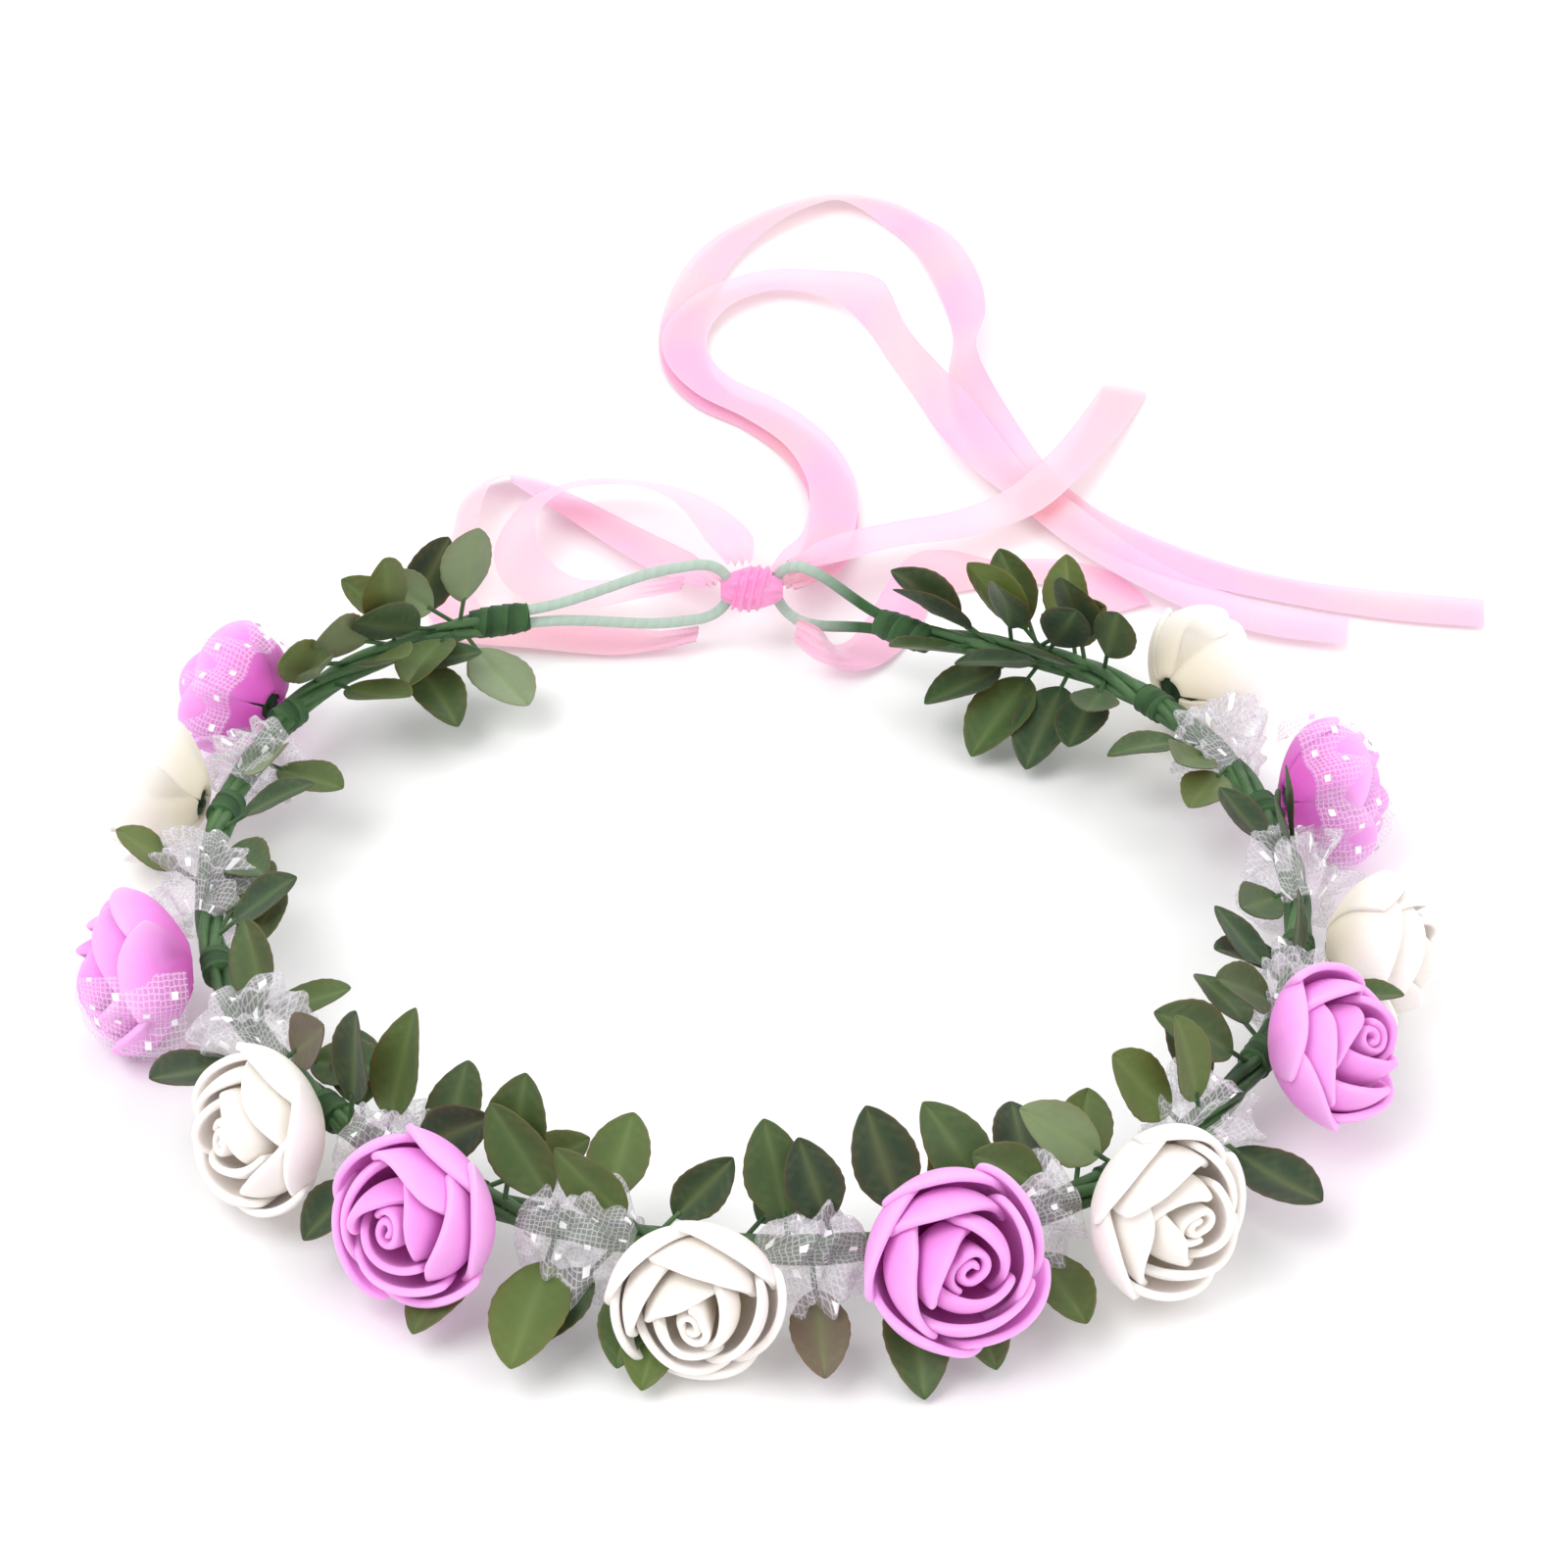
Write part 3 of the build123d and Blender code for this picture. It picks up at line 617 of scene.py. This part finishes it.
# Petals, inside to outside: (count, half sector, turn, foot, belly, rim, curl, slant), with
# each place as (radius, height).  The inner petals close over the roll, so their outer
# faces show, and the outermost open.  Curl is how far the lip rolls outward, and slant how
# much higher one side of the rim stands.
PETAL_RINGS = [
    (3, 76, 20, (2.4, 3.0), (6.3, 11.2), (3.7, 18.9), 0.30, 0.7),
    (4, 62, 62, (3.8, 2.2), (9.9, 8.8), (7.3, 17.0), 0.55, 0.9),
    (5, 50, 105, (2.8, 0.4), (11.7, 7.0), (11.2, 13.8), 0.70, 0.8),
]
PETAL_ROWS = 12
PETAL_COLUMNS = 15


def petal_profile(foot, belly, rim, part):
    """(radius, height) on a petal's curve from its foot through its belly to its rim."""
    control = [belly[axis] * 2 - (foot[axis] + rim[axis]) / 2 for axis in (0, 1)]
    return [
        foot[axis] * (1 - part) ** 2 + control[axis] * 2 * part * (1 - part) + rim[axis] * part ** 2
        for axis in (0, 1)
    ]


def petal_grid(rng, middle_angle, half_sector, foot, belly, rim, curl, slant):
    """Points of one cupped petal, tucked under its neighbour on one side."""
    points, reach = [], []
    droop = rng.uniform(0.7, 1.25)
    wave = rng.uniform(0, 2 * math.pi)
    height_change = rng.uniform(-0.9, 0.6)
    lean = rng.uniform(-0.12, 0.12)
    peak = rng.uniform(-0.25, 0.25)
    for row in range(PETAL_ROWS):
        up = row / (PETAL_ROWS - 1)
        for column in range(PETAL_COLUMNS):
            side = 2 * column / (PETAL_COLUMNS - 1) - 1
            from_peak = abs(side - peak * (1 - side * side))
            rounded = 1 - 0.34 * from_peak ** 2.3 * droop
            radius, height = petal_profile(foot, belly, rim, up * rounded)
            height += (height_change + slant * side) * up
            spread = math.radians(half_sector) * (0.70 + 0.30 * math.sin(math.pi * min(up * 1.25, 1) / 2))
            angle = math.radians(middle_angle) + spread * side + lean * up
            radius += 0.95 * side * (0.30 + 0.70 * up)
            lip = max(0.0, (up - 0.70) / 0.30) ** 2
            radius += curl * lip * (1 - 0.35 * abs(side))
            radius += 0.30 * math.sin(2.6 * side + wave) * up
            height -= 0.45 * curl * lip
            points.append(Vector((radius * math.cos(angle), radius * math.sin(angle), height)))
            # Painted light on each petal: shade at its foot, a highlight at its rim, and less brightness on the inner
            # petals deeper in the rose.
            reach.append(0.12 + 0.88 * up ** 1.3 * (radius / 12.5) ** 0.3)
    return points, reach


def rose_roll(rng):
    """The tight roll in the middle: a sheet folded round itself, slightly squashed."""
    points, reach = [], []
    turns = 1.65
    columns = 44
    rows = 8
    start = rng.uniform(0, 2 * math.pi)
    squash = rng.uniform(0.12, 0.24)
    for row in range(rows):
        up = row / (rows - 1)
        for column in range(columns):
            part = column / (columns - 1)
            angle = start + 2 * math.pi * turns * part
            radius = 0.55 + 2.75 * part ** 0.9
            radius *= 1 + squash * math.sin(2 * angle + start)
            radius *= 0.60 + 0.40 * math.sin(math.pi * min(0.25 + up * 0.5, 1))
            top = 17.6 + 0.9 * math.sin(angle + 1.3) * part
            height = 4.0 + (top - 4.0) * up
            points.append(Vector((radius * math.cos(angle), radius * math.sin(angle), height)))
            # The roll is painted with shade low down, deep in the rose, and reaches only the lit tone at its top.
            reach.append(0.05 + 0.70 * up ** 2)
    return points, reach, rows, columns


def rose(number):
    """All the foam of one rose."""
    rng = random.Random(700 + number)
    to_part = rose_matrix(number)
    points, reach, rows, columns = rose_roll(rng)
    faces = grid_faces(rows, columns)
    spin = rng.uniform(0, 360)
    for count, half_sector, turn, *shape in PETAL_RINGS:
        for index in range(count):
            middle = spin + turn + 360 * index / count + rng.uniform(-8, 8)
            new_points, new_reach = petal_grid(rng, middle, half_sector, *shape)
            faces += grid_faces(PETAL_ROWS, PETAL_COLUMNS, len(points))
            points += new_points
            reach += new_reach
    placed = [to_part @ point for point in points]
    material, slot = (PINK_FOAM, "pink_foam") if number % 2 else (IVORY_FOAM, "ivory_foam")
    name = f"rose_{number:02d}"
    piece = make_object(f"{name}_foam", placed, faces, material, values={"reach": reach})
    thicken(piece, 1.35, levels=2, offset=0.0)
    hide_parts(f"{name}_bud", f"{name}_petals")
    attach(piece, name)
    NODES[f"{name}_stem"].data.materials.clear()
    NODES[f"{name}_stem"].data.materials.append(TAPE)


# ------------------------------------------------------------------ leaves
LEAF_ROWS = 17
LEAF_COLUMNS = 9
PETIOLE_LENGTH = 3.0
LEAF_GROUND_GAP = 0.5


def loose_parts(node):
    """The points of each separate solid in a CAD node, in millimetres."""
    shape = bmesh.new()
    shape.from_mesh(NODES[node].data)
    bmesh.ops.remove_doubles(shape, verts=shape.verts, dist=1e-6)
    left = set(shape.verts)
    parts = []
    while left:
        waiting = [left.pop()]
        part = []
        while waiting:
            vertex = waiting.pop()
            part.append(vertex.co / MM)
            for edge in vertex.link_edges:
                other = edge.other_vert(vertex)
                if other in left:
                    left.remove(other)
                    waiting.append(other)
        parts.append(part)
    shape.free()
    return sorted(parts, key=lambda part: (round(part[0].x, 2), round(part[0].y, 2)))


def leaf_axes(points):
    """(base, direction, side, length) of a flat CAD leaf on its petiole."""
    cloud = np.array([tuple(point) for point in points])
    centre = cloud.mean(0)
    _, _, rows = np.linalg.svd(cloud - centre, full_matrices=False)
    direction, side = rows[0], rows[1]
    lengthwise = (cloud - centre) @ direction
    widest = lengthwise[np.argmax(np.abs((cloud - centre) @ side))]
    if widest - lengthwise.min() < lengthwise.max() - widest:
        direction = -direction
        lengthwise = -lengthwise
    base = centre + direction * lengthwise.min()
    length = lengthwise.max() - lengthwise.min() - PETIOLE_LENGTH
    return Vector(base), Vector(direction), Vector(side), float(length)


def leaf_width(part):
    """Half the leaf's width, as a share of its length: broadest past the middle."""
    return 0.30 * math.sin(math.pi * part ** 0.88) ** 0.64 if 0 < part < 1 else 0.0


def leaf_grid(rng, base, direction, side, length):
    """Points and values of one leaf: cupped, curled and serrated, on a thin petiole."""
    normal = direction.cross(side)
    if normal.z < 0:
        normal, side = -normal, -side
    curl = rng.uniform(-0.16, 0.20) * length
    cup = rng.uniform(0.10, 0.34)
    twist = rng.uniform(-0.35, 0.35)
    points, veins, edges = [], [], []
    for row in range(LEAF_ROWS):
        part = row / (LEAF_ROWS - 1)
        half = max(leaf_width(part) * length, 0.35 if part < 0.5 else 0.12)
        half *= 1 + 0.08 * (row % 2) * (part > 0.2)
        for column in range(LEAF_COLUMNS):
            across = 2 * column / (LEAF_COLUMNS - 1) - 1
            turn = twist * part
            lift = curl * part ** 2 + cup * half * across ** 2 - 0.22 * math.exp(-(across * 5) ** 2)
            lift += 0.18 * math.sin(9 * part + 2.2 * abs(across)) * abs(across)
            out = across * half
            spot = base + direction * (PETIOLE_LENGTH + part * length)
            spot = spot + side * (out * math.cos(turn)) + normal * (lift + out * math.sin(turn))
            spot.z = max(spot.z, LEAF_GROUND_GAP)
            points.append(spot)
            slanted = (part * 9 - abs(across) * 1.6) % 1
            side_vein = math.exp(-((slanted - 0.5) * 7) ** 2) * 0.45 * (abs(across) < 0.9)
            veins.append(max(math.exp(-(across * 4.5) ** 2), side_vein))
            edges.append(abs(across))
    return points, veins, edges


LEAF_TONES = [0.05, 0.16, 0.25, 0.34, 0.42, 0.5, 0.6, 0.68, 0.8, 0.97]


def leaf_spray(node, body, weights):
    """Every leaf of one CAD node as one piece."""
    rng = random.Random(sum(map(ord, node)))
    points, faces, veins, edges, tones = [], [], [], [], []
    petioles = []
    for part in loose_parts(node):
        base, direction, side, length = leaf_axes(part)
        new_points, new_veins, new_edges = leaf_grid(rng, base, direction, side, length)
        faces += grid_faces(LEAF_ROWS, LEAF_COLUMNS, len(points))
        tone = rng.choices(LEAF_TONES, weights)[0] + rng.uniform(-0.03, 0.03)
        points += new_points
        veins += new_veins
        edges += new_edges
        tones += [tone] * len(new_points)
        petioles.append(straight(base + direction * 0.8, direction, 3.4, 8))
    uvs = [(0.0, 0.0)] * len(points)
    piece = make_object(f"{node}_cloth", points, faces, LEAF, uvs, {"vein": veins, "edge": edges, "tone": tones})
    thicken(piece, 0.28, levels=1, offset=0.0)
    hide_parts(node)
    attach(piece, body)
    stem_points, stem_faces, stem_uvs = tube_mesh(petioles, 0.42, around=8)
    stems = make_object(f"{node}_petioles", stem_points, stem_faces, STEM, stem_uvs)
    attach(stems, body)


# ------------------------------------------------------------------ tulle
# Each veil is cut to this (width, length).  A puff is cut PUFF_HEM wider than it is long,
# and long enough to go once round it at its full size.
VEIL_CUT = (20.0, 50.0)
PUFF_HEM = 3.0
GROUND_GAP = 0.5           # cloth that would sink below the ground lies on it


def tulle_puffs(node):
    """Crumpled strips of tulle drawn in round the band, one for each CAD puff."""
    rng = random.Random(sum(map(ord, node)))
    for index, part in enumerate(loose_parts(node)):
        centre = sum(part, Vector()) / len(part)
        angle = math.degrees(math.atan2(centre.y, centre.x))
        radial = polar(angle, 1, 0)
        length_way = along(angle)
        radius = 1.75 * max(abs(point.z - centre.z) for point in part)
        half = max(abs((point - centre).dot(length_way)) for point in part) + 3.5
        cut = (2 * half + PUFF_HEM, 2 * math.pi * radius)
        phases = [rng.uniform(0, 2 * math.pi) for _ in range(6)]
        points, uvs = [], []
        rows, columns = 37, 97
        for row in range(rows):
            place = 2 * row / (rows - 1) - 1
            fullness = max(0.0, 1 - abs(place) ** 2.2) ** 0.7
            for column in range(columns):
                turn = 2 * math.pi * 0.97 * column / (columns - 1) + phases[0]
                twisted = turn + 0.5 * math.sin(3 * place + phases[4])
                ruffle = 0.34 * math.sin(4 * twisted + phases[1] + 2.6 * place)
                ruffle += 0.26 * math.sin(7 * twisted + phases[2] - 4.0 * place)
                ruffle += 0.12 * math.sin(13 * turn + 8 * place + phases[3])
                uneven = 0.74 + 0.20 * math.sin(turn + phases[5])
                size = 2.9 + (radius - 2.9) * fullness * (uneven + ruffle) * 0.85
                spot = centre + length_way * (half * place + 1.3 * ruffle * fullness)
                spot = spot + radial * math.cos(turn) * size + Vector((0, 0, math.sin(turn) * size))
                spot.z = max(spot.z, GROUND_GAP)
                points.append(spot)
                uvs.append((cut[1] / 10 * column / (columns - 1), cut[0] / 20 * (place + 3)))
        piece = make_object(f"{node}_{index + 1}", points, grid_faces(rows, columns), TULLE, uvs)
        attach(piece, ROOT)
        if index == 0:
            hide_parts(node)


# Veils: (rose, first and last angle round it).  Each is laid from its flat cut: its width
# climbs the rose's side by the cut's width, and ruffles take up its length.
VEILS = [(1, -60, 150), (3, -175, 35), (11, 15, 225)]
VEIL_RADIUS = 13.9
VEIL_MIDDLE = 7.2
VEIL_START = math.radians(-25)
VEIL_RUFFLE = 1.25
VEIL_WAVES = 9


def veil(number, first, last):
    """A loose end of tulle lying over one side of a rose, and on the ground under it."""
    to_part = rose_matrix(number)
    climb = VEIL_CUT[0] / to_part.to_scale().x / (0.94 * VEIL_RADIUS)
    phase = 1.7 * number
    points, uvs = [], []
    rows, columns = 21, 61
    for row in range(rows):
        up = row / (rows - 1)
        rise = VEIL_START + climb * up
        for column in range(columns):
            part = column / (columns - 1)
            turn = math.radians(first + (last - first) * part)
            wave = VEIL_RUFFLE * math.sin(VEIL_WAVES * turn + 1.5 * up + phase)
            size = VEIL_RADIUS * math.cos(rise) + wave
            height = VEIL_MIDDLE + 0.88 * VEIL_RADIUS * math.sin(rise)
            height += 0.8 * math.sin(3 * part * math.pi + phase) * up
            spot = to_part @ Vector((size * math.cos(turn), size * math.sin(turn), height))
            spot.z = max(spot.z, GROUND_GAP)
            points.append(spot)
            uvs.append((VEIL_CUT[1] / 10 * part, VEIL_CUT[0] / 10 * up))
    name = f"rose_{number:02d}"
    piece = make_object(f"{name}_veil", points, grid_faces(rows, columns), VEIL, uvs)
    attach(piece, name)


# ------------------------------------------------------------------ ribbon
def curve_value(before, first, second, after, part):
    """A smooth value between first and second, with its neighbours' slopes."""
    slope_in = (second - before) / 2
    slope_out = (after - first) / 2
    square = part * part
    cube = square * part
    return (
        (2 * cube - 3 * square + 1) * first + (cube - 2 * square + part) * slope_in
        + (3 * square - 2 * cube) * second + (cube - square) * slope_out
    )


def stations(route, steps=8):
    padded = [route[0]] + route + [route[-1]]
    places = []
    for four in zip(padded, padded[1:], padded[2:], padded[3:]):
        for step in range(steps):
            places.append([curve_value(*values, step / steps) for values in zip(*four)])
    places.append(list(route[-1]))
    return places


RIBBON_COLUMNS = 13


def ribbon(name):
    """One strip of organza along its route, pleated where the knot gathers it."""
    nodes, body, gathered, bend_start, bend_end = RIBBONS[name]
    rng = random.Random(len(name) + ord(name[-1]))
    places = stations(RIBBON_ROUTES[name])
    spots = [Vector(place[:3]) for place in places]
    travelled = [0.0]
    for before, after in zip(spots, spots[1:]):
        travelled.append(travelled[-1] + (after - before).length)
    total = travelled[-1]
    phase = rng.uniform(0, 6)
    points, uvs = [], []
    for index, (x, y, lift, roll) in enumerate(places):
        before = spots[max(index - 1, 0)]
        after = spots[min(index + 1, len(spots) - 1)]
        heading = Vector((after.x - before.x, after.y - before.y, 0)).normalized()
        ends = [far for far, end in zip((travelled[index], total - travelled[index]), gathered) if end]
        gather = min(min(ends, default=GATHER_LENGTH) / GATHER_LENGTH, 1)
        width = GATHERED_WIDTH + (RIBBON_WIDTH - GATHERED_WIDTH) * gather
        turn = math.radians(roll)
        across = Vector((-heading.y, heading.x, 0)) * math.cos(turn) + Vector((0, 0, math.sin(turn)))
        through = heading.cross(across)
        centre = Vector((x, y, lift + abs(math.sin(turn)) * width / 2 + 0.25))
        for column in range(RIBBON_COLUMNS):
            side = 2 * column / (RIBBON_COLUMNS - 1) - 1
            pleat = 0.85 * (1 - gather) * math.sin(3.2 * math.pi * side + phase)
            ripple = 0.22 * math.sin(travelled[index] / 9 + 1.7 * side + phase) * gather
            cup = 0.45 * side * side * math.sin(travelled[index] / 23 + phase)
            points.append(centre + across * (side * width / 2) + through * (pleat + ripple + cup))
            uvs.append(((side + 1) / 2, travelled[index] / 10))
    piece = make_object(f"organza_{name}", points, grid_faces(len(places), RIBBON_COLUMNS), ORGANZA, uvs)
    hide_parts(*nodes)
    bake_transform(piece)


def knot():
    """The knot: a fat pleated barrel with a slanting band of ribbon wound over it."""
    points, uvs = [], []
    rows, columns = 33, 64
    for row in range(rows):
        place = 2 * row / (rows - 1) - 1
        body = 1.75 + (KNOT_RADIUS * 0.93 - 1.75) * max(0.0, 1 - abs(place) ** 2.2)
        for column in range(columns):
            turn = 2 * math.pi * column / columns
            pleat = 0.26 * math.sin(7 * turn + 2.6 * place) + 0.14 * math.sin(13 * turn - 4 * place)
            size = body + pleat * (1 - 0.45 * abs(place))
            offset = Vector((KNOT_HALF_LENGTH * place, size * math.cos(turn), size * math.sin(turn)))
            points.append(KNOT_CENTRE + offset)
            uvs.append((column / columns, place))
    faces = grid_faces(rows, columns, closed=True)
    faces.append(tuple(range(columns - 1, -1, -1)))
    faces.append(tuple(range((rows - 1) * columns, rows * columns)))
    barrel = make_object("ribbon_knot_barrel", points, faces, KNOT_ORGANZA, uvs)
    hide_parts("ribbon_knot")
    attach(barrel, ROOT)

    points, uvs = [], []
    rows, columns = 41, 72
    for row in range(rows):
        place = 2 * row / (rows - 1) - 1
        for column in range(columns):
            turn = 2 * math.pi * column / columns
            pleat = 0.42 * math.sin(3.5 * math.pi * place + 0.8 * math.sin(turn))
            size = KNOT_RADIUS + 0.05 - 0.5 * place * place + pleat
            slant = 1.2 * math.sin(turn + 0.6)
            offset = Vector((2.9 * place + slant, size * math.cos(turn), size * math.sin(turn)))
            points.append(KNOT_CENTRE + offset)
            uvs.append(((place + 1) / 2, column / 8))
    faces = grid_faces(rows, columns, closed=True)
    wrap = make_object("ribbon_knot_wrap", points, faces, KNOT_ORGANZA, uvs)
    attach(wrap, ROOT)


# ------------------------------------------------------------------ stage
def stage():
    """A pale floor and soft light."""
    size = 40.0
    mesh = bpy.data.meshes.new("floor")
    mesh.from_pydata([(-size, -size, 0), (size, -size, 0), (size, size, 0), (-size, size, 0)], [], [(0, 1, 2, 3)])
    floor = bpy.data.objects.new("floor", mesh)
    bpy.context.scene.collection.objects.link(floor)
    material, tree, shader = new_material("floor", 0.9, specular=0.1)
    shader.inputs["Base Color"].default_value = (0.92, 0.92, 0.92, 1)
    mesh.materials.append(material)

    world = bpy.data.worlds.new("soft_light")
    world.use_nodes = True
    world.node_tree.nodes["Background"].inputs["Color"].default_value = (1, 1, 1, 1)
    world.node_tree.nodes["Background"].inputs["Strength"].default_value = 0.80
    bpy.context.scene.world = world
    bpy.context.scene.view_settings.view_transform = "Standard"
    lamps = [
        ("key", (-0.7, -0.5, 1.3), 1.0, 11), ("fill", (0.9, -0.6, 0.9), 1.0, 5), ("back", (0.2, 1.1, 1.0), 0.9, 5),
    ]
    for name, place, width, power in lamps:
        data = bpy.data.lights.new(name, "AREA")
        data.size = width
        data.energy = power
        lamp = bpy.data.objects.new(name, data)
        lamp.location = place
        lamp.rotation_euler = (Vector((0, 0.08, 0)) - Vector(place)).to_track_quat("-Z", "Y").to_euler()
        bpy.context.scene.collection.objects.link(lamp)


CAMERA_DISTANCE = 0.700
CAMERA_ELEVATION = 35.0
CAMERA_TARGET = Vector((0.0058, 0.0450, 0.0030))


def camera():
    data = bpy.data.cameras.new("camera")
    data.sensor_width = 36.0
    data.lens = 87.3
    data.clip_start = 0.01
    piece = bpy.data.objects.new("camera", data)
    rise = math.radians(CAMERA_ELEVATION)
    away = Vector((0, -math.cos(rise), math.sin(rise)))
    piece.location = CAMERA_TARGET + away * CAMERA_DISTANCE
    piece.rotation_euler = (-away).to_track_quat("-Z", "Y").to_euler()
    bpy.context.scene.collection.objects.link(piece)
    bpy.context.scene.camera = piece


def main():
    camera()
    stage()
    twisted_stems()
    tape_windings()
    (left_end, left_nose), (right_end, right_nose) = loop_ends()
    wire_loop("left_loop_wire", left_end, left_nose, "left_wire_loop", SAGE)
    wire_loop("right_loop_wire", right_end, right_nose, "right_wire_loop", FADING_SAGE)
    NODES["band_core_wire"].data.materials.clear()
    NODES["band_core_wire"].data.materials.append(STEM)
    for number in range(1, 13):
        rose(number)
    even = [2, 3, 3, 3, 3, 2, 2, 1, 1, 1]
    pale = [1, 1, 1, 2, 2, 2, 3, 3, 5, 1]
    dark = [5, 4, 3, 3, 2, 1, 1, 1, 0, 0]
    sprays = {
        "leaves_left_back": pale, "leaves_left": even, "leaves_front_left": even,
        "leaves_front_right": even, "leaves_right": even, "leaves_right_back": dark,
    }
    for node, weights in sprays.items():
        leaf_spray(node, ROOT, weights)
    for number in (5, 6, 7):
        leaf_spray(f"rose_{number:02d}_leaves", f"rose_{number:02d}", even)
    for node in ("tulle_left", "tulle_right"):
        tulle_puffs(node)
    for place in VEILS:
        veil(*place)
    knot()
    for name in RIBBON_ROUTES:
        ribbon(name)
    bpy.context.view_layer.update()


main()
